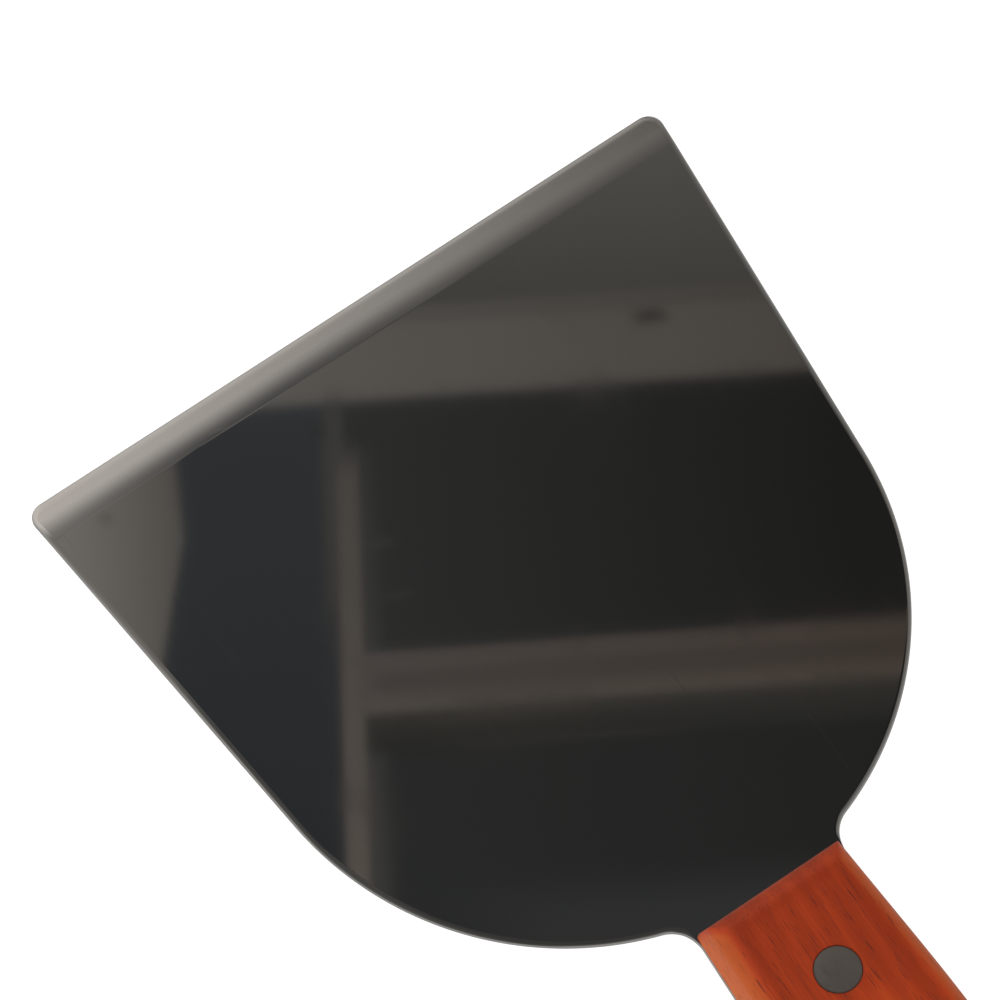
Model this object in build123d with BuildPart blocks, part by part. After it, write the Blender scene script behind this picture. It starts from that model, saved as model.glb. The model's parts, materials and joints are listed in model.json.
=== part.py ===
from build123d import *

import math
import os

# A stiff taping knife, in millimetres. One polished steel plate forms the blade and a
# full-length tang. The blade is a disc whose sides run out as two tangent lines to a
# straight working edge, which is ground with a bevel on the blade's upper face. Two
# hardwood scales lie on the tang and are held by three two-piece cutlery rivets, and a
# hang hole runs through the butt.
#
# Frame: +X points from the butt to the working edge, +Y lies across the blade and +Z is
# normal to it. The origin is under the middle of the knife, level with the lower scale's
# flat outer face. The knife is symmetric about the XZ plane.

# Blade
BLADE_WIDTH = 127.0  # across the working edge, before its corners are rounded
BLADE_THICKNESS = 1.5
DISC_RADIUS = 57.15
DISC_SETBACK = 64.7  # of the disc's centre, behind the working edge
CORNER_RADIUS = 2.8
NECK_RADIUS = 6.0
RIM_RADIUS = 0.6  # rounding of the blade's sides, upper and lower
BEVEL_WIDTH = 5.0
BEVEL_DROP = 1.0  # of the upper face, at the working edge
BEVEL_BLEND_RADIUS = 16.0  # between the bevel and the upper face

# Handle outline: half widths at distances behind the front of the scales
SCALE_SETBACK = 122.2  # of the scales' front, behind the working edge
HANDLE_LENGTH = 117.8
LEAD_AT, LEAD_HALF_WIDTH = -8.0, 13.8
FRONT_AT, FRONT_HALF_WIDTH = 6.0, 14.45
SWELL_AT, SWELL_HALF_WIDTH = 44.0, 15.8
WAIST_AT, WAIST_HALF_WIDTH = 79.5, 14.8
FLARE_AT, FLARE_HALF_WIDTH = 103.5, 16.4
BUTT_BULGE = 3.8  # of the butt's end, beyond the corners of the flare
BUTT_CORNER_RADIUS = 9.5

# Scales
SCALE_THICKNESS = 8.25
SCALE_CORNER_RADIUS = 4.8
SCALE_DRAFT = 12  # degrees, by which all its sides lean in towards its outer face
SCALE_EDGE_RADIUS = 3.8

# Rivets, each a male half with a solid shank pressed into a tubular female half
RIVET_NAMES = ("front", "middle", "rear")
RIVET_FIRST_AT = 19.2  # behind the front of the scales
RIVET_PITCH = 31.5
HEAD_RADIUS = 3.97
SEAT_DEPTH = 2.0  # of the head's underside, below the scale's face
CROWN_DEPTH = 0.05  # of the middle of the head's top, below the scale's face
HEAD_DOME = 0.15  # how far the top of the head falls from its middle to its rim
TUBE_RADIUS = 2.45
TUBE_BORE_RADIUS = 1.61
SHANK_RADIUS = 1.6
STEM_CHAMFER = 0.3  # on the ends of the shank and the tube
STEM_END_GAP = 0.5  # between each stem's end and the other half's head
RIVET_CLEARANCE = 0.04  # around the heads and tubes

# Hang hole
HANG_HOLE_AT = 104.0  # behind the front of the scales
HANG_HOLE_RADIUS = 4.0
HANG_HOLE_MOUTH = 0.8  # 45-degree chamfer

# Places that follow from the sizes above
LENGTH = SCALE_SETBACK + HANDLE_LENGTH
EDGE_X = LENGTH / 2
BUTT_X = -LENGTH / 2
DISC_X = EDGE_X - DISC_SETBACK
FRONT_X = EDGE_X - SCALE_SETBACK
HALF_WIDTH = BLADE_WIDTH / 2
PLATE_BOTTOM = SCALE_THICKNESS
PLATE_TOP = PLATE_BOTTOM + BLADE_THICKNESS
TOP = PLATE_TOP + SCALE_THICKNESS
RIVET_XS = [FRONT_X - RIVET_FIRST_AT - i * RIVET_PITCH for i in range(len(RIVET_NAMES))]
STEM_DEPTH = TOP - SEAT_DEPTH - STEM_END_GAP  # of each stem's end, below the face that its head is in
HANG_HOLE_X = FRONT_X - HANG_HOLE_AT

UPPER_SEAT = Plane.XY.offset(PLATE_TOP)  # the face of the tang that the upper scale sits on
MIDDLE = Plane.XY.offset(TOP / 2)


def side_tangent_point():
    """Where the blade's straight side, coming from the working edge's corner, meets the disc."""
    corner_distance = math.hypot(DISC_SETBACK, HALF_WIDTH)
    corner_angle = math.atan2(HALF_WIDTH, DISC_SETBACK)
    tangent_angle = corner_angle + math.acos(DISC_RADIUS / corner_distance)
    return DISC_X + DISC_RADIUS * math.cos(tangent_angle), DISC_RADIUS * math.sin(tangent_angle)


def handle_outline():
    """The handle's outline, with a square lead that runs on into the disc, as a sketch on XY."""
    lead_x = FRONT_X - LEAD_AT
    flare_x = FRONT_X - FLARE_AT
    corner_x = BUTT_X + BUTT_BULGE
    with BuildSketch() as outline:
        with BuildLine():
            side = Spline(
                (lead_x, LEAD_HALF_WIDTH),
                (FRONT_X - FRONT_AT, FRONT_HALF_WIDTH),
                (FRONT_X - SWELL_AT, SWELL_HALF_WIDTH),
                (FRONT_X - WAIST_AT, WAIST_HALF_WIDTH),
                (flare_x, FLARE_HALF_WIDTH),
                tangents=[(LEAD_AT - FRONT_AT, FRONT_HALF_WIDTH - LEAD_HALF_WIDTH), (-1, 0)],
            )
            cheek = Line((flare_x, FLARE_HALF_WIDTH), (corner_x, FLARE_HALF_WIDTH))
            mirror([side, cheek], about=Plane.XZ)
            ThreePointArc((corner_x, FLARE_HALF_WIDTH), (BUTT_X, 0), (corner_x, -FLARE_HALF_WIDTH))
            Line((lead_x, LEAD_HALF_WIDTH), (lead_x, -LEAD_HALF_WIDTH))
        make_face()
        fillet(outline.vertices().group_by(Axis.X)[0], BUTT_CORNER_RADIUS)
    return outline.sketch


def plate_outline(handle):
    """The outline of the blade and tang together, with rounded necks, as a sketch on XY."""
    tangent_x, tangent_y = side_tangent_point()
    with BuildSketch() as outline:
        with Locations((DISC_X, 0)):
            Circle(DISC_RADIUS)
        Polygon(
            (EDGE_X, HALF_WIDTH),
            (tangent_x, tangent_y),
            (tangent_x, -tangent_y),
            (EDGE_X, -HALF_WIDTH),
            align=None,
        )
        add(handle)
        fillet(outline.vertices().filter_by_position(Axis.X, FRONT_X, FRONT_X - LEAD_AT), NECK_RADIUS)
    return outline.sketch


def make_blade(outline):
    """The blade and its full-length tang, one plate. The tang's sides stay square, flush with the scales."""
    plate_plane = Plane.XY.offset(PLATE_BOTTOM)
    with BuildPart() as blade:
        with BuildSketch(plate_plane):
            add(outline)
            with Locations((FRONT_X, 0)):
                Rectangle(LENGTH, 2 * BLADE_WIDTH, align=(Align.MIN, Align.CENTER), mode=Mode.INTERSECT)
        extrude(amount=BLADE_THICKNESS)

        # The rounded sides, from the working edge's corners round to the front of the scales
        flats = blade.faces().filter_by(Axis.Z)
        square_ends = flats.edges().filter_by(Axis.Y)
        fillet([edge for edge in flats.edges() if edge not in square_ends], RIM_RADIUS)

        # The working edge's rounded corners
        with BuildSketch(plate_plane):
            with Locations((EDGE_X + CORNER_RADIUS, 0)):
                Rectangle(3 * CORNER_RADIUS, 2 * BLADE_WIDTH, align=(Align.MAX, Align.CENTER))
            with BuildSketch(mode=Mode.SUBTRACT) as rounded:
                add(outline)
                fillet(rounded.vertices().group_by(Axis.X)[-1], CORNER_RADIUS)
        extrude(amount=BLADE_THICKNESS, mode=Mode.SUBTRACT)

        # The bevel, blended into the upper face
        with BuildSketch(Plane.XZ.offset(-BLADE_WIDTH)):
            with BuildLine():
                ground = FilletPolyline(
                    (EDGE_X + BEVEL_WIDTH, PLATE_TOP - 2 * BEVEL_DROP),
                    (EDGE_X - BEVEL_WIDTH, PLATE_TOP),
                    (EDGE_X - 3 * BEVEL_WIDTH, PLATE_TOP),
                    radius=BEVEL_BLEND_RADIUS,
                )
                Polyline(
                    ground @ 0,
                    (EDGE_X + BEVEL_WIDTH, PLATE_TOP + BEVEL_DROP),
                    (EDGE_X - 3 * BEVEL_WIDTH, PLATE_TOP + BEVEL_DROP),
                    ground @ 1,
                )
            make_face()
        extrude(amount=2 * BLADE_WIDTH, mode=Mode.SUBTRACT)

        # The tang
        with BuildSketch(plate_plane):
            add(outline)
            with Locations((FRONT_X, 0)):
                Rectangle(LENGTH, 2 * BLADE_WIDTH, align=(Align.MAX, Align.CENTER), mode=Mode.INTERSECT)
        extrude(amount=BLADE_THICKNESS)
        with Locations(UPPER_SEAT):
            with Locations(*[(x, 0) for x in RIVET_XS]):
                Hole(TUBE_RADIUS + RIVET_CLEARANCE)
            with Locations((HANG_HOLE_X, 0)):
                Hole(HANG_HOLE_RADIUS)
    return blade


def make_scale(handle):
    """The upper scale, drafted on all its sides and rounded around its outer face."""
    with BuildPart() as scale:
        with BuildSketch(UPPER_SEAT) as outline:
            add(handle)
            with Locations((FRONT_X, 0)):
                Rectangle(LENGTH, BLADE_WIDTH, align=(Align.MAX, Align.CENTER), mode=Mode.INTERSECT)
            fillet(outline.vertices().group_by(Axis.X)[-1], SCALE_CORNER_RADIUS)
        extrude(amount=SCALE_THICKNESS, taper=SCALE_DRAFT)
        fillet(scale.faces().sort_by(Axis.Z)[-1].edges(), SCALE_EDGE_RADIUS)
        with Locations(Plane.XY.offset(TOP)):
            with Locations(*[(x, 0) for x in RIVET_XS]):
                CounterBoreHole(TUBE_RADIUS + RIVET_CLEARANCE, HEAD_RADIUS + RIVET_CLEARANCE, SEAT_DEPTH)
            with Locations((HANG_HOLE_X, 0)):
                CounterSinkHole(HANG_HOLE_RADIUS, HANG_HOLE_RADIUS + HANG_HOLE_MOUTH, counter_sink_angle=90)
    return scale


def mirror_image(piece, plane):
    """The same piece on the other side of a plane."""
    with BuildPart() as image:
        mirror(piece.part, about=plane)
    return image


def make_rivet_half(face_centre, outward, stem_profile):
    """One half of a rivet: a domed head sunk in the scale's face, and the stem that its profile gives."""
    dome_radius = (HEAD_RADIUS**2 + HEAD_DOME**2) / (2 * HEAD_DOME)
    with BuildPart() as half:
        with BuildSketch(Plane(face_centre, x_dir=(1, 0, 0), z_dir=(0, -outward, 0))):
            with BuildLine():
                dome = RadiusArc((0, -CROWN_DEPTH), (HEAD_RADIUS, -CROWN_DEPTH - HEAD_DOME), dome_radius)
                Polyline(dome @ 1, (HEAD_RADIUS, -SEAT_DEPTH), *stem_profile, dome @ 0)
            make_face()
        revolve(axis=Axis(face_centre, (0, 0, 1)))
    return half


# The stems' profiles, as radius and depth, from the underside of the head to the axis
SHANK_PROFILE = [
    (SHANK_RADIUS, -SEAT_DEPTH),
    (SHANK_RADIUS, STEM_CHAMFER - STEM_DEPTH),
    (SHANK_RADIUS - STEM_CHAMFER, -STEM_DEPTH),
    (0, -STEM_DEPTH),
]
TUBE_PROFILE = [
    (TUBE_RADIUS, -SEAT_DEPTH),
    (TUBE_RADIUS, -STEM_DEPTH),
    (TUBE_BORE_RADIUS + STEM_CHAMFER, -STEM_DEPTH),
    (TUBE_BORE_RADIUS, STEM_CHAMFER - STEM_DEPTH),
    (TUBE_BORE_RADIUS, -SEAT_DEPTH),
    (0, -SEAT_DEPTH),
]

handle = handle_outline()
upper_scale = make_scale(handle)
pieces = {
    "blade": make_blade(plate_outline(handle)),
    "upper_scale": upper_scale,
    "lower_scale": mirror_image(upper_scale, MIDDLE),
}
for name, x in zip(RIVET_NAMES, RIVET_XS):
    pieces[f"{name}_rivet_male"] = make_rivet_half((x, 0, TOP), 1, SHANK_PROFILE)
    pieces[f"{name}_rivet_female"] = make_rivet_half((x, 0, 0), -1, TUBE_PROFILE)

os.makedirs("parts", exist_ok=True)
for name, piece in pieces.items():
    piece.part.label = name
    export_step(piece.part, f"parts/{name}.step")
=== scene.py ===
import itertools
import json
from bisect import bisect_right
from math import acos, atan2, cos, hypot, pi, radians, sin, sqrt, tan

import bmesh
import bpy
from mathutils import Matrix, Vector


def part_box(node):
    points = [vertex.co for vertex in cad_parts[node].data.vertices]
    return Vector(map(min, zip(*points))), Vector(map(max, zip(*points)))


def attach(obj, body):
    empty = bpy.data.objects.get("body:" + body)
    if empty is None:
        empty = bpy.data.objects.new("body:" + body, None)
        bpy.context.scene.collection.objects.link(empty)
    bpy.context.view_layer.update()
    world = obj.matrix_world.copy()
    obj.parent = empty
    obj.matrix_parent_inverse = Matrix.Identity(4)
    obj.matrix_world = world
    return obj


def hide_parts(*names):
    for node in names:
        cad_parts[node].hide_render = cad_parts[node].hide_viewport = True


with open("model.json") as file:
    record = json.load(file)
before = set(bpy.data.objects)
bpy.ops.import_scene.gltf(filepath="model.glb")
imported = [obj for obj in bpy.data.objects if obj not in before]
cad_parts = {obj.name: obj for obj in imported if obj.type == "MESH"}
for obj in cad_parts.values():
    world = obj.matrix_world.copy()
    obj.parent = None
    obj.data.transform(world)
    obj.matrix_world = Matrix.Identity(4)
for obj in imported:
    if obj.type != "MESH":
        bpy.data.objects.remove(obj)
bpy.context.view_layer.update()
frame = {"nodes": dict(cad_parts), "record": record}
MM = 0.001

# ---------------------------------------------------------------- places that the frame gives
blade_low, blade_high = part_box("blade")
scale_low, scale_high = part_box("upper_scale")
EDGE_X = blade_high.x
PLATE_BOTTOM, PLATE_TOP = blade_low.z, blade_high.z
PLATE_MIDDLE = (PLATE_BOTTOM + PLATE_TOP) / 2
FRONT_X, BUTT_X = scale_high.x, scale_low.x
FLARE_HALF_WIDTH = scale_high.y
TOP = scale_high.z
SCALE_THICKNESS = TOP - PLATE_TOP
RIVETS = {}
for rivet_name in ("front", "middle", "rear"):
    low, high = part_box(f"{rivet_name}_rivet_male")
    RIVETS[rivet_name] = (low.x + high.x) / 2
    HEAD_RADIUS = (high.x - low.x) / 2
hole = next(m for m in frame["record"]["mounts"] if m["name"] == "hang_hole")
HOLE_X = hole["pos_m"][0]
HOLE_RADIUS = hole["dims"]["r_mm"] * MM

# Sizes that the CAD solids' boxes don't give, repeated here
SCALE_DRAFT = radians(12)
SCALE_EDGE_RADIUS = 3.8 * MM
BUTT_BULGE = 3.8 * MM
BUTT_CORNER_RADIUS = 9.5 * MM
HOLE_MOUTH = 0.8 * MM
SEAT_DEPTH = 2.0 * MM
CROWN_DEPTH = 0.05 * MM
HEAD_DOME = 0.15 * MM
HEAD_CLEARANCE = 0.04 * MM  # around the rivets' heads and tubes
TUBE_RADIUS = 2.45 * MM
TUBE_BORE_RADIUS = 1.61 * MM
SHANK_RADIUS = 1.6 * MM
STEM_CHAMFER = 0.3 * MM
STEM_END_GAP = 0.5 * MM
BLADE_WIDTH = 127.0 * MM  # at the working edge, before its corners are rounded
DISC_SETBACK = 64.7 * MM
DISC_RADIUS = 57.15 * MM
CORNER_RADIUS = 2.8 * MM
NECK_RADIUS = 6.0 * MM
BEVEL_WIDTH = 5.0 * MM
BEVEL_DROP = 1.0 * MM

# A softer blend of the bevel into the flat than the CAD solid's, which is 16 mm
BEVEL_BLEND_RADIUS = 22.0 * MM

# ---------------------------------------------------------------- camera
CAMERA_AZIMUTH = radians(-125.03)
CAMERA_ELEVATION = radians(70.84)
CAMERA_ROLL = radians(0.37)
CAMERA_DISTANCE = 1.1561
CAMERA_TARGET = Vector((EDGE_X - 42.7 * MM, -2.5 * MM, PLATE_MIDDLE))
CAMERA_LENS = 252.0  # mm
SENSOR_WIDTH = 36.0  # mm
CLIP_END = 100.0  # m


def make_camera():
    forward = Vector((
        -sin(CAMERA_AZIMUTH) * cos(CAMERA_ELEVATION),
        cos(CAMERA_AZIMUTH) * cos(CAMERA_ELEVATION),
        -sin(CAMERA_ELEVATION),
    ))
    level = forward.cross(Vector((0, 0, 1))).normalized()
    right = Matrix.Rotation(-CAMERA_ROLL, 3, forward) @ level
    up = right.cross(forward)
    data = bpy.data.cameras.new("camera")
    data.sensor_width = SENSOR_WIDTH
    data.lens = CAMERA_LENS
    data.clip_end = CLIP_END
    camera = bpy.data.objects.new("camera", data)
    bpy.context.scene.collection.objects.link(camera)
    turn = Matrix((right, up, -forward)).transposed().to_4x4()
    camera.matrix_world = Matrix.Translation(CAMERA_TARGET - forward * CAMERA_DISTANCE) @ turn
    bpy.context.scene.camera = camera


# ---------------------------------------------------------------- node helpers
class Shader:
    """A material's node tree around one Principled BSDF, with short calls for the nodes it needs."""

    def __init__(self, name):
        self.material = bpy.data.materials.new(name)
        self.material.use_nodes = True
        self.tree = self.material.node_tree
        self.bsdf = self.tree.nodes["Principled BSDF"]
        self.place = self.add("ShaderNodeTexCoord").outputs["Object"]

    def add(self, kind, inputs=(), **settings):
        node = self.tree.nodes.new(kind)
        for key, value in settings.items():
            setattr(node, key, value)
        for key, value in dict(inputs).items():
            self.set(node.inputs[key], value)
        return node

    def set(self, socket, value):
        if isinstance(value, bpy.types.NodeSocket):
            self.tree.links.new(value, socket)
        else:
            socket.default_value = value

    def finish(self, **inputs):
        """Sets the Principled BSDF's inputs, given by their names in lower case with underscores."""
        for key, value in inputs.items():
            self.set(self.bsdf.inputs[key.replace("_", " ").title().replace("Ior", "IOR")], value)
        return self.material

    def math(self, operation, a, b=0.0, c=0.0, clamp=False):
        node = self.add("ShaderNodeMath", operation=operation, use_clamp=clamp)
        for socket, value in zip(node.inputs, (a, b, c)):
            self.set(socket, value)
        return node.outputs[0]

    def remap(self, value, low, high, to_low=0.0, to_high=1.0, smooth=True):
        """value taken from low..high to to_low..to_high, and held there beyond them."""
        kind = "SMOOTHSTEP" if smooth else "LINEAR"
        node = self.add("ShaderNodeMapRange", interpolation_type=kind, clamp=True)
        for socket, number in zip(node.inputs, (value, low, high, to_low, to_high)):
            self.set(socket, number)
        return node.outputs[0]

    def stretched(self, scale, shift=(0, 0, 0), turn=(0, 0, 0)):
        inputs = {"Vector": self.place, "Scale": scale, "Location": shift, "Rotation": turn}
        return self.add("ShaderNodeMapping", inputs).outputs[0]

    def noise(self, vector, detail=3.0, roughness=0.5, distortion=0.0):
        inputs = {"Vector": vector, "Scale": 1.0, "Detail": detail, "Roughness": roughness,
                  "Distortion": distortion}
        return self.add("ShaderNodeTexNoise", inputs).outputs["Fac"]

    def mix(self, factor, a, b):
        """a where factor is 0 and b where it is 1. Inputs 6 and 7 and output 2 are the node's colours."""
        node = self.add("ShaderNodeMix", data_type="RGBA", blend_type="MIX")
        self.set(node.inputs["Factor"], factor)
        self.set(node.inputs[6], a)
        self.set(node.inputs[7], b)
        return node.outputs[2]

    def bump(self, height, distance, below=None):
        node = self.add("ShaderNodeBump", {"Height": height, "Distance": distance, "Strength": 1.0})
        if below is not None:
            self.set(node.inputs["Normal"], below)
        return node.outputs[0]

    def attribute(self, name):
        return self.add("ShaderNodeAttribute", attribute_name=name).outputs["Fac"]


def rgb(r, g, b):
    return (r, g, b, 1.0)


# ---------------------------------------------------------------- materials
def blade_steel():
    """Mirror-polished plate, with a finely ground bevel and edges, and the marks of handling."""
    s = Shader("blade_steel_polished")
    axes = s.add("ShaderNodeSeparateXYZ", {"Vector": s.place}).outputs
    bevel = s.remap(axes[0], EDGE_X - BEVEL_WIDTH - 1.5 * MM, EDGE_X - BEVEL_WIDTH + 1.0 * MM)
    surface = s.add("ShaderNodeNewGeometry").outputs["Normal"]
    facing = s.add("ShaderNodeSeparateXYZ", {"Vector": surface}).outputs[2]
    side = s.remap(s.math("ABSOLUTE", facing), 0.55, 0.95, 1.0, 0.0)

    smears = s.noise(s.stretched((22, 34, 60), turn=(0, 0, 0.6)), detail=5, roughness=0.62, distortion=0.8)
    smears = s.remap(smears, 0.5, 0.78)
    polish = s.noise(s.stretched((70, 5200, 900)), detail=4, roughness=0.7)
    polish = s.remap(polish, 0.35, 0.75, smooth=False)
    roughness = s.math("MULTIPLY_ADD", smears, 0.020, 0.024)
    roughness = s.math("MULTIPLY_ADD", polish, 0.010, roughness)
    roughness = s.math("MULTIPLY_ADD", bevel, 0.10, roughness)
    roughness = s.math("MULTIPLY_ADD", side, 0.12, roughness)

    hairlines = s.noise(s.stretched((9, 2600, 800), turn=(0, 0, 0.35)), detail=2, roughness=0.4)
    hairlines = s.remap(hairlines, 0.735, 0.76)
    grinding = s.noise(s.stretched((3200, 45, 400)), detail=3, roughness=0.6)
    waves = s.noise(s.stretched((30, 36, 20)), detail=1.5, roughness=0.35)
    normal = s.bump(waves, 0.006 * MM)
    normal = s.bump(s.math("MULTIPLY", grinding, s.math("MAXIMUM", bevel, side)), 0.0035 * MM, normal)
    normal = s.bump(hairlines, -0.0006 * MM, normal)

    tint = s.mix(smears, rgb(0.60, 0.592, 0.575), rgb(0.585, 0.570, 0.545))
    return s.finish(base_color=tint, metallic=1.0, roughness=roughness, normal=normal)


def scale_wood(name, shift, turn):
    """Hardwood stained reddish orange under a satin lacquer, with growth rings, fibres and pores along it,
    and the painted highlight and painted shade that the vertices carry.
    """
    s = Shader(name)
    painted_light = s.attribute("painted_light")
    broad = s.noise(s.stretched((26, 75, 75), shift, turn), detail=3, roughness=0.5)
    wander = s.noise(s.stretched((14, 40, 40), shift, turn), detail=2, roughness=0.5)
    across = s.add("ShaderNodeSeparateXYZ", {"Vector": s.stretched((12, 620, 260), shift, turn)}).outputs
    phase = s.math("MULTIPLY_ADD", wander, 9.0, s.math("ADD", across[1], s.math("ADD", across[0], across[2])))
    rings = s.math("MULTIPLY_ADD", s.math("SINE", s.math("MULTIPLY", phase, 2.4)), 0.5, 0.5)
    rings = s.math("POWER", rings, 1.7)
    fibres = s.noise(s.stretched((48, 1900, 1900), shift, turn), detail=5, roughness=0.68)
    fibres = s.remap(fibres, 0.28, 0.74, smooth=False)
    pores = s.noise(s.stretched((210, 5200, 5200), shift, turn), detail=1.5, roughness=0.4)
    pores = s.remap(pores, 0.635, 0.70)

    deep, body, light = rgb(0.285, 0.025, 0.003), rgb(0.50, 0.050, 0.005), rgb(0.60, 0.155, 0.018)
    amount = s.remap(broad, 0.30, 0.72)
    amount = s.math("MULTIPLY_ADD", s.math("SUBTRACT", rings, 0.5), 0.26, amount)
    amount = s.math("MULTIPLY_ADD", s.math("SUBTRACT", fibres, 0.5), 0.42, amount)
    amount = s.math("MULTIPLY_ADD", amount, 0.52, 0.24, clamp=True)
    colour = s.mix(s.remap(amount, 0.0, 0.5, smooth=False), deep, body)
    colour = s.mix(s.remap(amount, 0.5, 1.0, 0.0, 0.55, smooth=False), colour, light)
    # Painted light: the painted highlight mixes towards the light wood colour and the painted shade towards
    # the deep one
    colour = s.mix(s.remap(painted_light, 0.0, 1.0, 0.0, 0.72, smooth=False), colour, light)
    colour = s.mix(s.remap(painted_light, -1.0, 0.0, 0.5, 0.0, smooth=False), colour, deep)
    colour = s.mix(s.math("MULTIPLY", pores, 0.62), colour, rgb(0.085, 0.010, 0.005))

    roughness = s.math("MULTIPLY_ADD", fibres, -0.07, 0.36)
    roughness = s.math("MULTIPLY_ADD", pores, 0.14, roughness)
    height = s.math("MULTIPLY_ADD", pores, -0.8, s.math("MULTIPLY", fibres, 0.35))
    normal = s.bump(height, 0.02 * MM)
    normal = s.bump(s.noise(s.stretched((60, 160, 160), shift, turn), detail=2), 0.05 * MM, normal)
    return s.finish(base_color=colour, roughness=roughness, normal=normal, coat_weight=0.14,
                    coat_roughness=0.16, specular_ior_level=0.22)


def rivet_steel():
    """Heads sanded flush with the scales: fine lines along the knife, with turning rings left under them."""
    s = Shader("rivet_steel_ground")
    lines = s.noise(s.stretched((260, 9000, 1500)), detail=3, roughness=0.65)
    lines = s.remap(lines, 0.3, 0.75, smooth=False)
    ring_places = s.attribute("ring")
    turned = s.add("ShaderNodeCombineXYZ", {"X": s.math("MULTIPLY", ring_places, 60.0)}).outputs[0]
    rings = s.noise(turned, detail=2)
    dull = s.noise(s.stretched((420, 420, 420)), detail=3, roughness=0.6)
    colour = s.mix(s.remap(dull, 0.35, 0.75), rgb(0.485, 0.438, 0.397), rgb(0.39, 0.349, 0.312))
    colour = s.mix(s.remap(ring_places, 0.90, 1.0, 0.0, 0.55), colour, rgb(0.20, 0.185, 0.17))
    roughness = s.math("MULTIPLY_ADD", lines, 0.14, s.remap(dull, 0.3, 0.8, 0.27, 0.36))
    height = s.math("MULTIPLY_ADD", rings, 0.6, lines)
    return s.finish(base_color=colour, metallic=1.0, roughness=roughness, normal=s.bump(height, 0.003 * MM))


# ---------------------------------------------------------------- mesh helpers
NORMAL_WEIGHT = 100  # of the weighted normals, towards the larger faces


def new_object(name, bm, material):
    mesh = bpy.data.meshes.new(name)
    bm.to_mesh(mesh)
    bm.free()
    mesh.materials.append(material)
    piece = bpy.data.objects.new(name, mesh)
    bpy.context.scene.collection.objects.link(piece)
    return piece


def finish_piece(piece, sharp_angle, slot, *nodes):
    """Shades the piece smoothly except at its sharp edges, and puts it in the place of its CAD nodes."""
    piece.data.shade_smooth()
    piece.data.set_sharp_from_angle(angle=radians(sharp_angle))
    weighted = piece.modifiers.new("weighted_normals", "WEIGHTED_NORMAL")
    weighted.keep_sharp = True
    weighted.weight = NORMAL_WEIGHT
    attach(piece, "root")
    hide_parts(*nodes)


def add_ring(bm, places, layer, value):
    """New vertices at the places, which all carry the value on the layer."""
    ring = [bm.verts.new(place) for place in places]
    for vertex in ring:
        vertex[layer] = value
    return ring


def bridge(bm, lower, upper):
    """Quads between two closed rings of equal length."""
    for i in range(len(lower)):
        j = (i + 1) % len(lower)
        bm.faces.new((lower[i], lower[j], upper[j], upper[i]))


def fill(bm, rings):
    """Faces between the first ring, which is around the others, and the rest."""
    edges = []
    for ring in rings:
        edges += [bm.edges.get((ring[i], ring[(i + 1) % len(ring)])) for i in range(len(ring))]
    bmesh.ops.triangle_fill(bm, use_beauty=True, use_dissolve=False, edges=edges)


def circle(x, radius, z, count):
    return [(x + radius * cos(2 * pi * i / count), radius * sin(2 * pi * i / count), z) for i in range(count)]


# ---------------------------------------------------------------- scales
FRONT_CORNER_RADIUS = 0.9 * MM
MITRE_RADIUS = 0.25 * MM  # the least that the front corner keeps as the outline moves inwards
FRONT_PAINTED_SHADE = -0.3  # of the painted light elsewhere: on the front end's rounding the painted highlight becomes painted shade
SEAT_TOLERANCE = 1e-6
SIDE_FROM, SIDE_TO = 14 * MM, 4.5 * MM  # from the butt and from the front: where the CAD's side is read
SIDE_STEPS = 71
CORNER_STEPS = 12
BORE_STEPS = 72


def side_curve():
    """The CAD scale's half width as a smooth function of x, through the points of its seat's outline."""
    places = {}
    for vertex in frame["nodes"]["upper_scale"].data.vertices:
        x, y, z = vertex.co
        if z < PLATE_TOP + SEAT_TOLERANCE and y > FLARE_HALF_WIDTH / 2:
            if BUTT_X + SIDE_FROM < x < FRONT_X - SIDE_TO:
                places[round(x, 6)] = y
    xs = sorted(places)
    ys = [places[x] for x in xs]
    slopes = []
    for i in range(len(xs)):
        a, b = max(i - 1, 0), min(i + 1, len(xs) - 1)
        slopes.append((ys[b] - ys[a]) / (xs[b] - xs[a]))
    slopes[0] = 0.0  # the cheek of the flare is straight

    def half_width(x):
        if x <= xs[0]:
            return ys[0], 0.0
        if x >= xs[-1]:
            return ys[-1] + slopes[-1] * (x - xs[-1]), slopes[-1]
        i = bisect_right(xs, x) - 1
        span = xs[i + 1] - xs[i]
        t = (x - xs[i]) / span
        value = ((1 + 2 * t) * (1 - t) ** 2 * ys[i] + t * (1 - t) ** 2 * span * slopes[i]
                 + t * t * (3 - 2 * t) * ys[i + 1] + t * t * (t - 1) * span * slopes[i + 1])
        slope = slopes[i] + (slopes[i + 1] - slopes[i]) * t
        return value, slope

    return half_width


def arc(centre, radius, first, last, count, concave=False):
    """(x, y, nx, ny) along an arc, where nx, ny points out of the material."""
    points = []
    for i in range(count + 1):
        angle = first + (last - first) * i / count
        c, s = cos(angle), sin(angle)
        out = -1 if concave else 1
        points.append((centre[0] + radius * c, centre[1] + radius * s, out * c, out * s))
    return points


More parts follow.
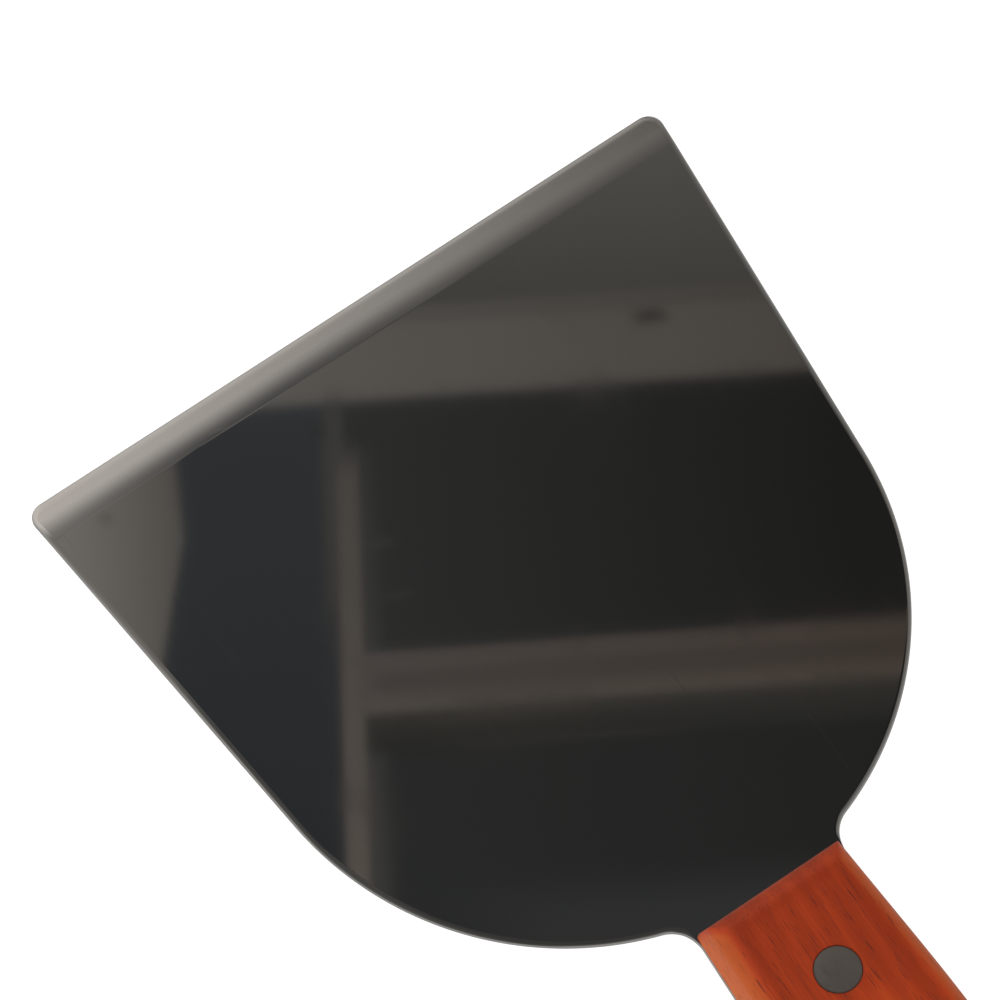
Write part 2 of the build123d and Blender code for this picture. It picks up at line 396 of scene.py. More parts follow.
def handle_side(half_width, start_x):
    """The handle's outline from start_x round to the middle of the butt, as (x, y, nx, ny)."""
    end_x = BUTT_X + BUTT_CORNER_RADIUS + 4 * MM
    side = []
    for i in range(SIDE_STEPS + 1):
        x = start_x + (end_x - start_x) * i / SIDE_STEPS
        w, slope = half_width(x)
        length = sqrt(1 + slope * slope)
        side.append((x, w, -slope / length, 1 / length))
    butt_radius = (FLARE_HALF_WIDTH**2 + BUTT_BULGE**2) / (2 * BUTT_BULGE)
    butt_x = BUTT_X + butt_radius
    corner_y = FLARE_HALF_WIDTH - BUTT_CORNER_RADIUS
    corner_x = butt_x - sqrt((butt_radius - BUTT_CORNER_RADIUS) ** 2 - corner_y**2)
    turn = atan2(corner_y, corner_x - butt_x)
    corner = arc((corner_x, corner_y), BUTT_CORNER_RADIUS, pi / 2, turn, 20)
    return side + corner + arc((butt_x, 0), butt_radius, turn, pi, 8)[1:]


def both_halves(half):
    return half + [(x, -y) for x, y in reversed(half[1:-1])]


def scale_outline(inset, half_width):
    """The scale's outline moved inwards by inset, as (x, y) points that go once round it."""
    w, slope = half_width(FRONT_X)
    length = sqrt(1 + slope * slope)
    nx, ny = -slope / length, 1 / length
    radius = max(FRONT_CORNER_RADIUS - inset, MITRE_RADIUS)
    cx = FRONT_X - inset - radius
    cy = (w * ny - inset - radius - nx * (cx - FRONT_X)) / ny
    corner = [(x, y) for x, y, _, _ in arc((cx, cy), radius, 0, atan2(ny, nx), CORNER_STEPS)]
    front = [(FRONT_X - inset, cy * i / 6) for i in range(6)]
    side = handle_side(half_width, corner[-1][0] + inset * nx)[1:]
    return both_halves(front + corner + [(x - inset * nx, y - inset * ny) for x, y, nx, ny in side])


def scale_section():
    """(inset, height above the seat, painted light) from the seat to the outer face. Painted light above 0 is
    a painted highlight, paler wood; below 0 it is painted shade, darker wood.
    """
    slant = tan(SCALE_DRAFT)
    height = SCALE_THICKNESS - SCALE_EDGE_RADIUS
    inset = height * slant + SCALE_EDGE_RADIUS / cos(SCALE_DRAFT)
    # Painted shade where the seat meets the steel, then a painted highlight up the drafted wall
    rings = [(0.14 * MM, 0.0, -0.5), (0.04 * MM, 0.05 * MM, 0.1), (0.15 * MM * slant, 0.15 * MM, 0.6)]
    for i in range(1, 6):
        rings.append((height * slant * i / 6, height * i / 6, 0.6))
    # Round the edge: a painted highlight on its lower part that fades upwards, and a painted dark line of
    # shade where it meets the face
    for i in range(15):
        angle = SCALE_DRAFT + (pi / 2 - SCALE_DRAFT) * i / 14
        painted_light = 0.6 * max(0.0, cos(angle)) ** 0.8 - 0.75 * sin(angle) ** 18
        rings.append((inset - SCALE_EDGE_RADIUS * cos(angle), height + SCALE_EDGE_RADIUS * sin(angle), painted_light))
    # Painted shade on the face: a darker line just inside the rounding, fading out inwards
    for extra, painted_light in ((0.5, -0.7), (1.1, -0.4), (1.8, -0.15), (2.6, 0.0)):
        rings.append((inset + extra * MM, SCALE_THICKNESS, painted_light))
    return rings


def make_scale(name, outward, material, node):
    bm = bmesh.new()
    painted_light = bm.verts.layers.float.new("painted_light")
    half_width = side_curve()
    seat_z = PLATE_TOP if outward > 0 else PLATE_BOTTOM
    rings = []
    for inset, height, value in scale_section():
        places = [(x, y, seat_z + outward * height) for x, y in scale_outline(inset, half_width)]
        ring = add_ring(bm, places, painted_light, value)
        for vertex in ring:
            # On the front end the painted highlight becomes painted shade
            if value > 0 and vertex.co.x > FRONT_X - inset - FRONT_CORNER_RADIUS:
                vertex[painted_light] = FRONT_PAINTED_SHADE * value
        rings.append(ring)
    for lower, upper in zip(rings, rings[1:]):
        bridge(bm, lower, upper)

    # Bores, each as (radius, depth below the outer face, painted light), from the lip at its mouth to the
    # seat. Their lips and walls carry painted shade, darker deeper into the hang hole.
    head = HEAD_RADIUS + HEAD_CLEARANCE
    tube = TUBE_RADIUS + HEAD_CLEARANCE
    seat_bore = [
        (head + 0.55 * MM, 0.0, 0.0),
        (head + 0.16 * MM, 0.0, -0.7),
        (head + 0.05 * MM, 0.04 * MM, -1.0),
        (head, 0.16 * MM, -1.0),
        (head, SEAT_DEPTH, -1.0),
        (tube, SEAT_DEPTH, -1.0),
        (tube, SCALE_THICKNESS, -1.0),
    ]
    hang_bore = [(HOLE_RADIUS + HOLE_MOUTH + 0.9 * MM, 0.0, 0.0)]
    for i in range(7):
        angle = pi / 4 * i / 6
        hang_bore.append((HOLE_RADIUS + HOLE_MOUTH + 0.30 * MM * (1 - 2 * sin(angle)),
                          0.42 * MM * (1 - cos(angle)), -0.15 * i))
    hang_bore += [(HOLE_RADIUS + 0.12 * MM, HOLE_MOUTH - 0.04 * MM, -0.9),
                  (HOLE_RADIUS, HOLE_MOUTH + 0.18 * MM, -0.9),
                  (HOLE_RADIUS, SCALE_THICKNESS, -0.9)]
    mouths, ends = [], []
    for x, profile in [(x, seat_bore) for x in RIVETS.values()] + [(HOLE_X, hang_bore)]:
        bore = []
        for radius, depth, value in profile:
            places = circle(x, radius, seat_z + outward * (SCALE_THICKNESS - depth), BORE_STEPS)
            bore.append(add_ring(bm, places, painted_light, value))
        for upper, lower in zip(bore, bore[1:]):
            bridge(bm, upper, lower)
        mouths.append(bore[0])
        ends.append(bore[-1])

    # The outer face and the seat, filled between their outlines and bores
    for outline, holes in ((rings[-1], mouths), (rings[0], ends)):
        fill(bm, [outline] + holes)
    bmesh.ops.recalc_face_normals(bm, faces=bm.faces)
    piece = new_object(name, bm, material)
    finish_piece(piece, 40, "scale_wood", node)


# ---------------------------------------------------------------- blade
RIM_WIDTH = 1.3 * MM  # of the rolled edges, seen from above
FRONT_RIM_WIDTH = 1.8 * MM
RIM_DEPTH = 0.5 * MM
RIM_POWER = 2.8  # of the superellipse that is their section, so that they start gently
TANG_EASE = 0.07 * MM  # of the tang's edges, which the rolled edges run out into
ROLL_BEHIND = 1.0 * MM  # the scales' front, where the tang's edges start to turn into rolled ones
ROLL_LENGTH = 2.5 * MM  # over which they do
RIM_STEPS = 12
BLEND_STEPS = 16  # across the bevel's blend
BORE_EASE = 0.1 * MM
CUT_TOLERANCE = 1e-7
FLAT = 0.999  # a normal's z above which the surface counts as flat


def plate_half(half_width):
    """Half the plate's outline, from the working edge's middle to the butt's, as (x, y, nx, ny)."""
    disc_x = EDGE_X - DISC_SETBACK
    half = BLADE_WIDTH / 2
    turn = atan2(half, DISC_SETBACK) + acos(DISC_RADIUS / hypot(DISC_SETBACK, half))
    nx, ny = cos(turn), sin(turn)
    corner_x = EDGE_X - CORNER_RADIUS
    corner_y = half - CORNER_RADIUS * (1 - nx) / ny

    w, slope = half_width(FRONT_X)
    length = sqrt(1 + slope * slope)
    hx, hy = -slope / length, 1 / length
    low, high = FRONT_X - 5 * MM, FRONT_X + 30 * MM
    for _ in range(60):  # the neck's centre is outside the handle's side and the disc by the neck's radius
        x = (low + high) / 2
        neck_x, neck_y = x + NECK_RADIUS * hx, w + slope * (x - FRONT_X) + NECK_RADIUS * hy
        if hypot(neck_x - disc_x, neck_y) > DISC_RADIUS + NECK_RADIUS:
            low = x
        else:
            high = x
    neck_turn = atan2(neck_y, neck_x - disc_x)
    front = [(EDGE_X, corner_y * i / 4, 1.0, 0.0) for i in range(4)]
    corner = arc((corner_x, corner_y), CORNER_RADIUS, 0, turn, 14)
    disc = arc((disc_x, 0), DISC_RADIUS, turn, neck_turn, 90)
    neck = arc((neck_x, neck_y), NECK_RADIUS, neck_turn + pi, atan2(-hy, -hx) + 2 * pi, 16, concave=True)
    return front + corner + disc + neck[1:] + handle_side(half_width, x)[1:]


def bevel_squash(x):
    """How much of its full thickness the plate keeps at x, and how fast that changes along x."""
    angle = atan2(BEVEL_DROP, BEVEL_WIDTH)
    first, last = bevel_blend()
    if x <= first:
        return 1.0, 0.0
    if x <= last:
        depth = sqrt(BEVEL_BLEND_RADIUS**2 - (x - first) ** 2)
        drop, slope = BEVEL_BLEND_RADIUS - depth, (x - first) / depth
    else:
        drop, slope = (x - EDGE_X + BEVEL_WIDTH) * tan(angle), tan(angle)
    thickness = PLATE_TOP - PLATE_BOTTOM
    return 1 - drop / thickness, -slope / thickness


def bevel_blend():
    """Where the blend of the bevel into the flat starts and ends."""
    angle = atan2(BEVEL_DROP, BEVEL_WIDTH)
    reach = BEVEL_BLEND_RADIUS * tan(angle / 2)
    return EDGE_X - BEVEL_WIDTH - reach, EDGE_X - BEVEL_WIDTH + reach * cos(angle)


def make_blade(material):
    """The plate with rolled edges, built flat, then squashed along its bevel. Its normals are exact."""
    bm = bmesh.new()
    normal_layer = bm.verts.layers.float_vector.new("surface_normal")

    def ring_of(points):
        ring = []
        for place, normal in points:
            vertex = bm.verts.new(place)
            vertex[normal_layer] = Vector(normal).normalized()
            ring.append(vertex)
        return ring

    half = plate_half(side_curve())
    outline = half + [(x, -y, nx, -ny) for x, y, nx, ny in reversed(half[1:-1])]
    steps = [pi / 2 * i / RIM_STEPS for i in range(RIM_STEPS, -1, -1)]
    rings = []
    for side, face_z in ((1, PLATE_TOP), (-1, PLATE_BOTTOM)):
        for turn in steps if side > 0 else reversed(steps):
            points = []
            for x, y, nx, ny in outline:
                t = min(max((x - FRONT_X + ROLL_BEHIND) / ROLL_LENGTH, 0.0), 1.0)
                rolled = t * t * (3 - 2 * t)
                width = RIM_WIDTH + (FRONT_RIM_WIDTH - RIM_WIDTH) * max(nx, 0.0) ** 2
                a = TANG_EASE + (width - TANG_EASE) * rolled
                b = TANG_EASE + (RIM_DEPTH - TANG_EASE) * rolled
                c, s = max(cos(turn), 0.0), max(sin(turn), 0.0)
                inset, drop = a * (1 - c ** (2 / RIM_POWER)), b * (1 - s ** (2 / RIM_POWER))
                place = (x - nx * inset, y - ny * inset, face_z - side * drop)
                out, up = b * c ** (2 - 2 / RIM_POWER), a * s ** (2 - 2 / RIM_POWER)
                points.append((place, (nx * out, ny * out, side * up)))
            rings.append(ring_of(points))
    for upper, lower in zip(rings, rings[1:]):
        bridge(bm, upper, lower)

    top_mouths, bottom_mouths = [], []
    for x, radius in [(x, TUBE_RADIUS + HEAD_CLEARANCE) for x in RIVETS.values()] + [(HOLE_X, HOLE_RADIUS)]:
        bore = []
        for r, z, up in ((radius + BORE_EASE, PLATE_TOP, 1), (radius, PLATE_TOP - BORE_EASE, 0),
                         (radius, PLATE_BOTTOM + BORE_EASE, 0), (radius + BORE_EASE, PLATE_BOTTOM, -1)):
            points = []
            for i in range(BORE_STEPS):
                c, s = cos(2 * pi * i / BORE_STEPS), sin(2 * pi * i / BORE_STEPS)
                points.append(((x + r * c, r * s, z), (0, 0, up) if up else (-c, -s, 0)))
            bore.append(ring_of(points))
        for upper, lower in zip(bore, bore[1:]):
            bridge(bm, upper, lower)
        top_mouths.append(bore[0])
        bottom_mouths.append(bore[-1])
    for border, holes in ((rings[0], top_mouths), (rings[-1], bottom_mouths)):
        fill(bm, [border] + holes)

    first, last = bevel_blend()
    for i in range(BLEND_STEPS + 1):
        x = first + (last - first) * i / BLEND_STEPS
        geometry = bm.verts[:] + bm.edges[:] + bm.faces[:]
        bmesh.ops.bisect_plane(bm, geom=geometry, dist=CUT_TOLERANCE, plane_co=(x, 0, 0), plane_no=(1, 0, 0))
    bmesh.ops.recalc_face_normals(bm, faces=bm.faces)
    normals = []
    bm.verts.index_update()
    for vertex in bm.verts:
        x, y, z = vertex.co
        keep, change = bevel_squash(x)
        nx, ny, nz = vertex[normal_layer]
        if abs(nz) > FLAT:
            nx, ny = 0.0, 0.0
        normals.append(Vector((nx - (z - PLATE_BOTTOM) * change / keep * nz, ny, nz / keep)).normalized())
        vertex.co.z = PLATE_BOTTOM + (z - PLATE_BOTTOM) * keep
    piece = new_object("blade_plate", bm, material)
    piece.data.shade_smooth()
    piece.data.normals_split_custom_set_from_vertices(normals)
    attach(piece, "root")
    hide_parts("blade")


# ---------------------------------------------------------------- rivets
RIM_EASE = 0.12 * MM
DOME_STEPS, EASE_STEPS, TURN_STEPS = 12, 5, 96


def make_rivet_half(name, x, outward, stem, material, node):
    """A turned half rivet: domed head with an eased rim, and the stem that (radius, depth) points give."""
    face_z = TOP if outward > 0 else 0.0
    dome_radius = (HEAD_RADIUS**2 + HEAD_DOME**2) / (2 * HEAD_DOME)
    profile = []
    for i in range(1, DOME_STEPS + 1):
        radius = (HEAD_RADIUS - RIM_EASE) * i / DOME_STEPS
        fall = dome_radius - sqrt(dome_radius**2 - radius * radius)
        profile.append((radius, CROWN_DEPTH + fall))
    edge_depth = profile[-1][1]
    for i in range(1, EASE_STEPS + 1):
        angle = pi / 2 * i / EASE_STEPS
        radius = HEAD_RADIUS - RIM_EASE + RIM_EASE * sin(angle)
        profile.append((radius, edge_depth + RIM_EASE * (1 - cos(angle))))
    profile += [(HEAD_RADIUS, SEAT_DEPTH)] + stem

    bm = bmesh.new()
    ring_layer = bm.verts.layers.float.new("ring")
    rings = []
    for radius, depth in profile:
        places = circle(x, radius, face_z - outward * depth, TURN_STEPS)
        rings.append(add_ring(bm, places, ring_layer, radius / HEAD_RADIUS))
    for upper, lower in zip(rings, rings[1:]):
        bridge(bm, upper, lower)
    for ring, depth in ((rings[0], CROWN_DEPTH), (rings[-1], profile[-1][1])):
        middle = bm.verts.new((x, 0, face_z - outward * depth))
        for i in range(len(ring)):
            bm.faces.new((ring[i], ring[(i + 1) % len(ring)], middle))
    bmesh.ops.recalc_face_normals(bm, faces=bm.faces)
    piece = new_object(name, bm, material)
    finish_piece(piece, 35, "rivet_steel", node)


# ---------------------------------------------------------------- stage
CARD_HEIGHT = 0.9
CARD_STEP = 0.0001  # each card hangs this much lower than the one before, and so in front of it
STEEL_REFLECTANCE = (0.60, 0.59, 0.57)
BEAM_ANGLE = radians(59.5)
ALONG = Vector((cos(BEAM_ANGLE), sin(BEAM_ANGLE), 0))
ACROSS = Vector((sin(BEAM_ANGLE), -cos(BEAM_ANGLE), 0))
card_numbers = itertools.count(1)


def card_material():
    """Light of the colour painted on a card, fading out to nothing at its soft edges."""
    material = bpy.data.materials.new("stage_card")
    material.use_nodes = True
    tree = material.node_tree
    tree.nodes.clear()
    paint = tree.nodes.new("ShaderNodeAttribute")
    paint.attribute_name = "paint"
    glow = tree.nodes.new("ShaderNodeEmission")
    clear = tree.nodes.new("ShaderNodeBsdfTransparent")
    soft = tree.nodes.new("ShaderNodeMapRange")
    soft.interpolation_type = "SMOOTHSTEP"
    mix = tree.nodes.new("ShaderNodeMixShader")
    out = tree.nodes.new("ShaderNodeOutputMaterial")
    tree.links.new(paint.outputs["Color"], glow.inputs["Color"])
    tree.links.new(paint.outputs["Alpha"], soft.inputs["Value"])
    tree.links.new(soft.outputs[0], mix.inputs[0])
    tree.links.new(clear.outputs[0], mix.inputs[1])
    tree.links.new(glow.outputs[0], mix.inputs[2])
    tree.links.new(mix.outputs[0], out.inputs["Surface"])
    return material


def card(name, corners, start, end, soft, seen=1.0):
    """An overhead card seen only in reflections. corners are its (x, y) places at start left, start right,
    end right and end left. It is painted from start to end, which are the colours that steel shows, and fades
    out over soft[0] of its length at its ends and soft[1] of its width at its sides. seen is how much of what
    is above it the card hides."""
    z = CARD_HEIGHT - CARD_STEP * next(card_numbers)
    a, b, c, d = (Vector((*corner, z)) for corner in corners)
    places, paints = [], []
    for i, u in enumerate((0.0, soft[0], 1 - soft[0], 1.0)):
        for j, v in enumerate((0.0, soft[1], 1 - soft[1], 1.0)):
            places.append(a.lerp(b, v).lerp(d.lerp(c, v), u))
            cover = seen if i in (1, 2) and j in (1, 2) else 0.0
            paints.append([(s + (e - s) * u) / r for s, e, r in zip(start, end, STEEL_REFLECTANCE)] + [cover])
    faces = [(4 * i + j, 4 * i + j + 4, 4 * i + j + 5, 4 * i + j + 1) for i in range(3) for j in range(3)]
    mesh = bpy.data.meshes.new(name)
    mesh.from_pydata(places, [], faces)
    paint = mesh.color_attributes.new("paint", "FLOAT_COLOR", "POINT")
    for item, colour in zip(paint.data, paints):
        item.color = colour
    obj = bpy.data.objects.new(name, mesh)
    bpy.context.scene.collection.objects.link(obj)
    mesh.materials.append(bpy.data.materials.get("stage_card") or card_material())
    obj.visible_camera = False
    obj.visible_diffuse = False
    obj.visible_shadow = False
    obj.visible_transmission = False


def grid(p, q):
    """The (x, y) place that lies p along the beams and q across them."""
    return (ALONG * p + ACROSS * q)[:2]


def beam(name, p, q, start, end, soft, lean=(0.0, 0.0), seen=1.0):
    """A card from p[0] to p[1] along the beams and q[0] to q[1] across them. lean moves its ends across."""
    corners = [(p[0], q[0] + lean[0]), (p[0], q[1] + lean[0]), (p[1], q[1] + lean[1]), (p[1], q[0] + lean[1])]
    card(name, [grid(*corner) for corner in corners], start, end, soft, seen)


def post(name, q, p, start, end, soft):
    """A card from q[0] to q[1] across the beams and p[0] to p[1] along them."""
    corners = [(p[0], q[0]), (p[1], q[0]), (p[1], q[1]), (p[0], q[1])]
    card(name, [grid(*corner) for corner in corners], start, end, soft)


def make_cards():
    """What the blade reflects: a dark ceiling with pale beams and a far window, all over the knife."""
    # Paler places far on the right, then the ceiling: far on the right, near, and below the lower beam
    beam("right_far", (-1.80, -0.24), (-0.30, 1.80),
         (0.200, 0.190, 0.176), (0.105, 0.100, 0.091), (0.06, 0.1))
    beam("left_far", (0.10, 2.60), (-2.00, 0.60),
         (0.040, 0.039, 0.036), (0.210, 0.200, 0.185), (0.02, 0.1))
    beam("ceiling", (-0.34, 0.13), (0.18, 0.70),
         (0.0112, 0.0112, 0.0102), (0.0118, 0.0118, 0.0108), (0.1, 0.1))
    beam("ceiling_near", (-0.100, 0.12), (0.18, 0.70),
         (0.0108, 0.0108, 0.0098), (0.0285, 0.0295, 0.0280), (0.03, 0.1))
    beam("ceiling_low", (-0.34, 0.08), (0.18, 0.300),
         (0.0130, 0.0130, 0.0115), (0.0130, 0.0130, 0.0115), (0.06, 0.02))
    beam("ceiling_low_near", (-0.16, 0.08), (0.18, 0.300),
         (0.0125, 0.0125, 0.0110), (0.0215, 0.0225, 0.0220), (0.05, 0.02))

    # The bright patch on the left, whose edge two dark cards shape, and the upper beam
    beam("patch_far", (0.1055, 2.20), (0.30, 1.20),
         (0.126, 0.118, 0.107), (0.300, 0.285, 0.265), (0.003, 0.06), (0.0, -1.50))
    beam("patch", (0.1055, 0.150), (0.10, 0.580),
         (0.068, 0.063, 0.055), (0.160, 0.149, 0.134), (0.11, 0.2))
    card("recess_low", [grid(0.148, 0.20), grid(0.060, 0.20), grid(0.060, 0.373), grid(0.1085, 0.373)],
         (0.0165, 0.0180, 0.0195), (0.0252, 0.0268, 0.0285), (0.03, 0.05))
    card("recess_high", [grid(0.1085, 0.355), grid(0.060, 0.355), grid(0.060, 0.420), grid(0.1135, 0.420)],
         (0.0243, 0.0259, 0.0276), (0.0270, 0.0286, 0.0310), (0.04, 0.08))
    post("above_a", (0.430, 0.502), (-0.34, 0.1115),
         (0.0420, 0.0410, 0.0362), (0.082, 0.078, 0.071), (0.02, 0.02))
    post("above_a_far", (0.498, 1.10), (-0.34, 0.60),
         (0.080, 0.076, 0.069), (0.155, 0.141, 0.130), (0.01, 0.02))
    beam("beam_a_far", (-0.34, -0.14), (0.4085, 0.4405),
         (0.050, 0.041, 0.035), (0.050, 0.041, 0.035), (0.01, 0.13))
    beam("beam_a", (-0.15, 0.1115), (0.4080, 0.4410),
         (0.050, 0.041, 0.035), (0.102, 0.096, 0.086), (0.02, 0.13))
    beam("beam_a_top", (-0.15, 0.1115), (0.4330, 0.4402),
         (0.042, 0.036, 0.031), (0.082, 0.078, 0.071), (0.02, 0.3))

    # The upright, which is soft on its right, and the lower beam with its streaks
    card("post_shade", [grid(0.0640, 0.20), grid(0.0520, 0.20), grid(0.0465, 0.400), grid(0.0570, 0.400)],
         (0.0400, 0.0400, 0.0370), (0.0270, 0.0275, 0.0255), (0.05, 0.45))
    card("post_side", [grid(0.0690, 0.335), grid(0.0600, 0.335), grid(0.0560, 0.418), grid(0.0650, 0.418)],
         (0.0340, 0.0335, 0.0305), (0.0430, 0.0420, 0.0385), (0.2, 0.3))
    card("post_c", [grid(0.0696, 0.20), grid(0.0603, 0.20), grid(0.0527, 0.400), grid(0.0617, 0.400)],
         (0.102, 0.084, 0.073), (0.060, 0.054, 0.048), (0.08, 0.25))
    post("ledge_b", (0.2980, 0.3125), (-0.34, 0.0590),
         (0.0185, 0.0182, 0.0158), (0.0275, 0.0268, 0.0238), (0.09, 0.01))
    beam("ledge_line", (-0.0500, 0.0460), (0.2990, 0.3006),
         (0.0290, 0.0260, 0.0230), (0.0450, 0.0400, 0.0350), (0.3, 0.4))
    beam("ledge_light", (-0.0800, 0.0530), (0.3084, 0.3100),
         (0.0300, 0.0270, 0.0240), (0.0480, 0.0440, 0.0390), (0.2, 0.4), (0.0006, -0.0024))
    lower_beam_lean = (-0.0011, -0.0018)
    beam("beam_b_far", (-0.34, -0.14), (0.3115, 0.3325),
         (0.048, 0.036, 0.029), (0.048, 0.036, 0.029), (0.01, 0.08), (-0.0011, -0.0011))
    beam("beam_b", (-0.15, 0.0610), (0.3115, 0.3325),
         (0.048, 0.036, 0.029), (0.066, 0.057, 0.051), (0.02, 0.08), lower_beam_lean)
    beam("streak_low", (-0.15, 0.0600), (0.3128, 0.3172),
         (0.056, 0.043, 0.035), (0.077, 0.066, 0.058), (0.03, 0.35), lower_beam_lean)
    beam("streak_dark", (-0.15, 0.0570), (0.3182, 0.3262),
         (0.037, 0.029, 0.024), (0.052, 0.045, 0.040), (0.03, 0.30), lower_beam_lean)
    beam("streak_thin", (-0.10, 0.0560), (0.3212, 0.3226),
         (0.050, 0.039, 0.032), (0.062, 0.054, 0.048), (0.2, 0.40), lower_beam_lean)

    # Small marks: a fitting under the upper beam, and darker and lighter places
    beam("fitting", (-0.0440, -0.0290), (0.4268, 0.4342),
         (0.030, 0.027, 0.024), (0.034, 0.031, 0.028), (0.35, 0.42), (0.0008, -0.0008))
    beam("mark_patch", (0.1270, 0.1345), (0.3740, 0.3810),
         (0.080, 0.073, 0.066), (0.080, 0.073, 0.066), (0.45, 0.45), (0.001, -0.001), 0.75)
    beam("mark_upright", (0.0610, 0.0700), (0.3965, 0.4055),
         (0.024, 0.024, 0.024), (0.024, 0.024, 0.024), (0.4, 0.4), (0, 0), 0.7)
    beam("mark_light", (0.0420, 0.0550), (0.3605, 0.3660),
         (0.036, 0.034, 0.031), (0.048, 0.045, 0.040), (0.45, 0.45), (0.002, -0.001), 0.6)
    beam("mark_light_low", (0.0370, 0.0530), (0.3445, 0.3490),
         (0.034, 0.032, 0.029), (0.044, 0.041, 0.036), (0.45, 0.45), (0.002, -0.001), 0.6)
    post("near_rim", (0.20, 0.262), (-0.12, 0.05),
         (0.030, 0.030, 0.029), (0.025, 0.0255, 0.0255), (0.3, 0.3))
    card("above_left_low", [(0.412, -0.215), (1.000, -0.215), (1.000, -0.124), (0.412, -0.124)],
         (0.086, 0.081, 0.074), (0.052, 0.051, 0.049), (0.06, 0.02))
    card("above_left", [(0.412, -0.126), (1.000, -0.130), (1.000, -0.040), (0.412, -0.040)],
         (0.048, 0.047, 0.045), (0.180, 0.169, 0.154), (0.02, 0.02))
    card("window_side", [(0.40, -0.05), (3.98, -0.05), (3.98, 1.60), (0.40, 1.60)],
         (0.520, 0.484, 0.445), (0.200, 0.192, 0.182), (0.02, 0.10))
    card("window", [(0.40, -0.39), (1.64, -0.39), (1.64, -0.03), (0.40, -0.03)],
         (0.0, 0.0, 0.0), (0.589, 0.544, 0.496), (0.01, 0.5))
    card("window_far", [(0.95, -0.75), (3.95, -0.75), (3.95, -0.03), (0.95, -0.03)],
         (0.042, 0.040, 0.037), (0.530, 0.494, 0.454), (0.02, 0.05))


REFLECTED_FLOOR = 0.38  # of the floor in reflections, as in a room that is darker than the backdrop
FLOOR_HALF_SIZE = 6.0
FLOOR_GAP = 0.0002  # below the knife, so that the two don't touch
FLOOR_GLOW = 0.80  # with the soft light on it, the floor comes out as white as the backdrop


def make_floor():
    size = FLOOR_HALF_SIZE
    corners = [(-size, -size, 0), (size, -size, 0), (size, size, 0), (-size, size, 0)]
    mesh = bpy.data.meshes.new("floor")
    mesh.from_pydata(corners, [], [(0, 1, 2, 3)])
    floor = bpy.data.objects.new("floor", mesh)
    floor.location.z = -FLOOR_GAP
    bpy.context.scene.collection.objects.link(floor)
    s = Shader("stage_floor")
    mesh.materials.append(s.finish(base_color=rgb(0.6, 0.6, 0.6), roughness=1.0, specular_ior_level=0.0,
                                   emission_color=rgb(1, 1, 1), emission_strength=FLOOR_GLOW))
    dim = s.add("ShaderNodeEmission", {"Color": rgb(1.0, 0.985, 0.96), "Strength": REFLECTED_FLOOR})
    choice = s.add("ShaderNodeMixShader")
    s.set(choice.inputs[0], s.add("ShaderNodeLightPath").outputs["Is Glossy Ray"])
    s.set(choice.inputs[1], s.bsdf.outputs[0])
    s.set(choice.inputs[2], dim.outputs[0])
    s.set(s.tree.nodes["Material Output"].inputs["Surface"], choice.outputs[0])


LIGHT_SIDE = (-0.45, 0.89, 0.0)  # the direction that more of the soft light comes from
LIGHT_LEVEL, LIGHT_SIDE_GAIN = 1.0, 0.5
ROOM_LEVELS = ((0.0, 0.36), (0.20, 0.44), (0.45, 0.38), (0.70, 0.22), (0.88, 0.10), (0.96, 0.07))
ROOM_TINT = (1.0, 0.985, 0.955)
PATCH_SCALE, PATCH_DETAIL = 1.6, 1.0
PATCH_GAIN = (0.36, 0.64, 0.85, 1.2)  # from and to values of the noise that makes the room's lighter places


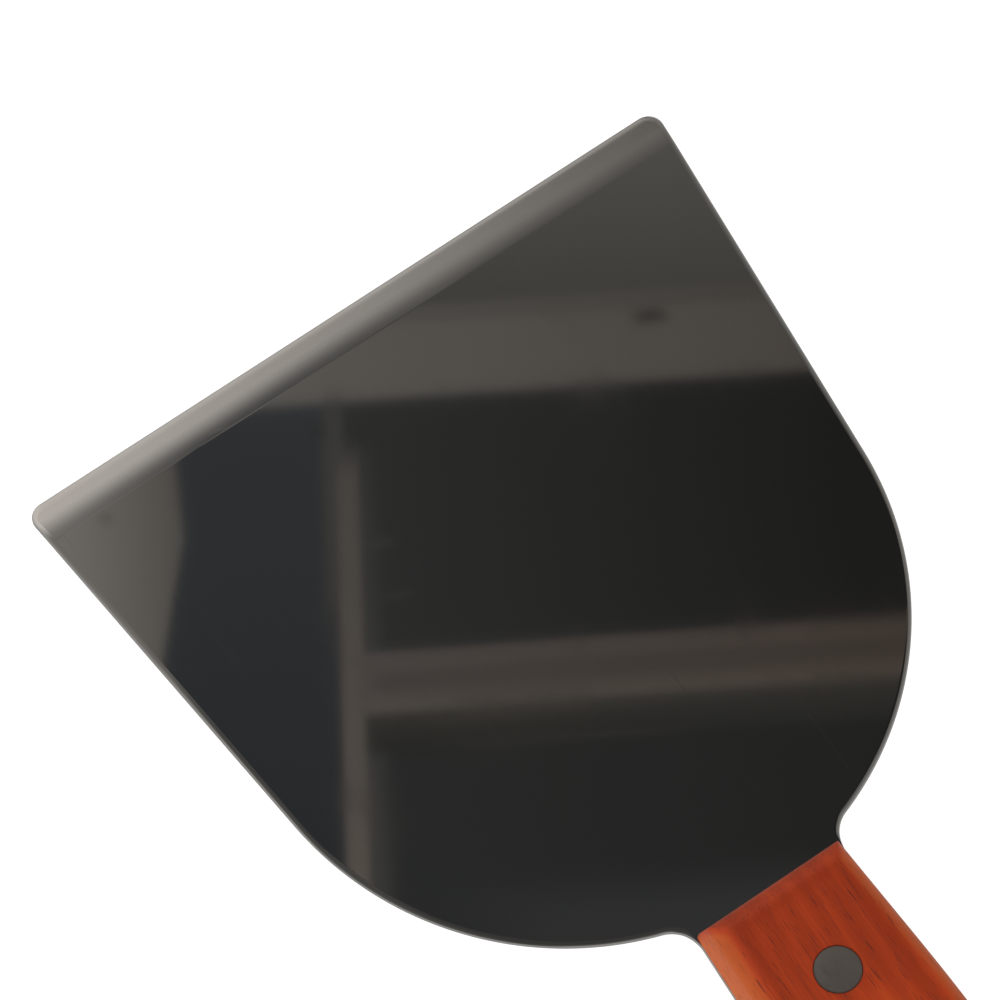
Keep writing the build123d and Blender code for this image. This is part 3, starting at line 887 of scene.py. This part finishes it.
def make_world():
    """A white backdrop, and in reflections a room that darkens towards its ceiling, with lighter places."""
    world = bpy.data.worlds.new("studio")
    bpy.context.scene.world = world
    world.use_nodes = True
    tree = world.node_tree
    place = tree.nodes.new("ShaderNodeTexCoord").outputs["Generated"]
    axes = tree.nodes.new("ShaderNodeSeparateXYZ")
    ramp = tree.nodes.new("ShaderNodeValToRGB")
    ramp.color_ramp.interpolation = "EASE"
    marks = ramp.color_ramp.elements
    while len(marks) < len(ROOM_LEVELS):
        marks.new(0.5)
    for mark, (position, level) in zip(marks, ROOM_LEVELS):
        mark.position = position
        mark.color = rgb(*(level * share for share in ROOM_TINT))
    patches = tree.nodes.new("ShaderNodeTexNoise")
    patches.inputs["Scale"].default_value = PATCH_SCALE
    patches.inputs["Detail"].default_value = PATCH_DETAIL
    gain = tree.nodes.new("ShaderNodeMapRange")
    gain.interpolation_type = "SMOOTHSTEP"
    for socket, number in zip(gain.inputs[1:5], PATCH_GAIN):
        socket.default_value = number
    room = tree.nodes.new("ShaderNodeBackground")
    choice = tree.nodes.new("ShaderNodeMixShader")
    backdrop = tree.nodes["Background"]
    backdrop.inputs["Color"].default_value = rgb(1.0, 1.0, 1.0)
    tree.links.new(place, axes.inputs[0])
    tree.links.new(place, patches.inputs["Vector"])
    tree.links.new(axes.outputs[2], ramp.inputs[0])
    tree.links.new(ramp.outputs[0], room.inputs["Color"])
    tree.links.new(patches.outputs["Fac"], gain.inputs[0])
    tree.links.new(gain.outputs[0], room.inputs["Strength"])
    towards = tree.nodes.new("ShaderNodeVectorMath")
    towards.operation = "DOT_PRODUCT"
    towards.inputs[1].default_value = LIGHT_SIDE
    strength = tree.nodes.new("ShaderNodeMath")
    strength.operation = "MULTIPLY_ADD"
    strength.inputs[1].default_value = LIGHT_SIDE_GAIN
    strength.inputs[2].default_value = LIGHT_LEVEL
    light = tree.nodes.new("ShaderNodeBackground")
    seen = tree.nodes.new("ShaderNodeMixShader")
    path = tree.nodes.new("ShaderNodeLightPath")
    tree.links.new(place, towards.inputs[0])
    tree.links.new(towards.outputs["Value"], strength.inputs[0])
    tree.links.new(strength.outputs[0], light.inputs["Strength"])
    tree.links.new(path.outputs["Is Camera Ray"], seen.inputs[0])
    tree.links.new(light.outputs[0], seen.inputs[1])
    tree.links.new(backdrop.outputs[0], seen.inputs[2])
    tree.links.new(path.outputs["Is Glossy Ray"], choice.inputs[0])
    tree.links.new(seen.outputs[0], choice.inputs[1])
    tree.links.new(room.outputs[0], choice.inputs[2])
    tree.links.new(choice.outputs[0], tree.nodes["World Output"].inputs["Surface"])


# ---------------------------------------------------------------- the knife
make_camera()
make_blade(blade_steel())
upper_wood = scale_wood("scale_wood_upper", (0.31, 0.012, 0.004), (0.0, 0.0, 0.02))
make_scale("scale_upper", 1, upper_wood, "upper_scale")
lower_wood = scale_wood("scale_wood_lower", (0.87, 0.041, 0.019), (0.0, 0.0, -0.03))
make_scale("scale_lower", -1, lower_wood, "lower_scale")
stem_depth = TOP - SEAT_DEPTH - STEM_END_GAP
shank = [
    (SHANK_RADIUS, SEAT_DEPTH),
    (SHANK_RADIUS, stem_depth - STEM_CHAMFER),
    (SHANK_RADIUS - STEM_CHAMFER, stem_depth),
]
tube = [
    (TUBE_RADIUS, SEAT_DEPTH),
    (TUBE_RADIUS, stem_depth),
    (TUBE_BORE_RADIUS + STEM_CHAMFER, stem_depth),
    (TUBE_BORE_RADIUS, stem_depth - STEM_CHAMFER),
    (TUBE_BORE_RADIUS, SEAT_DEPTH),
]
steel = rivet_steel()
for rivet_name, x in RIVETS.items():
    make_rivet_half(f"rivet_{rivet_name}_male", x, 1, shank, steel, f"{rivet_name}_rivet_male")
    make_rivet_half(f"rivet_{rivet_name}_female", x, -1, tube, steel, f"{rivet_name}_rivet_female")

make_cards()
make_floor()
make_world()
bpy.context.scene.view_settings.view_transform = "Standard"
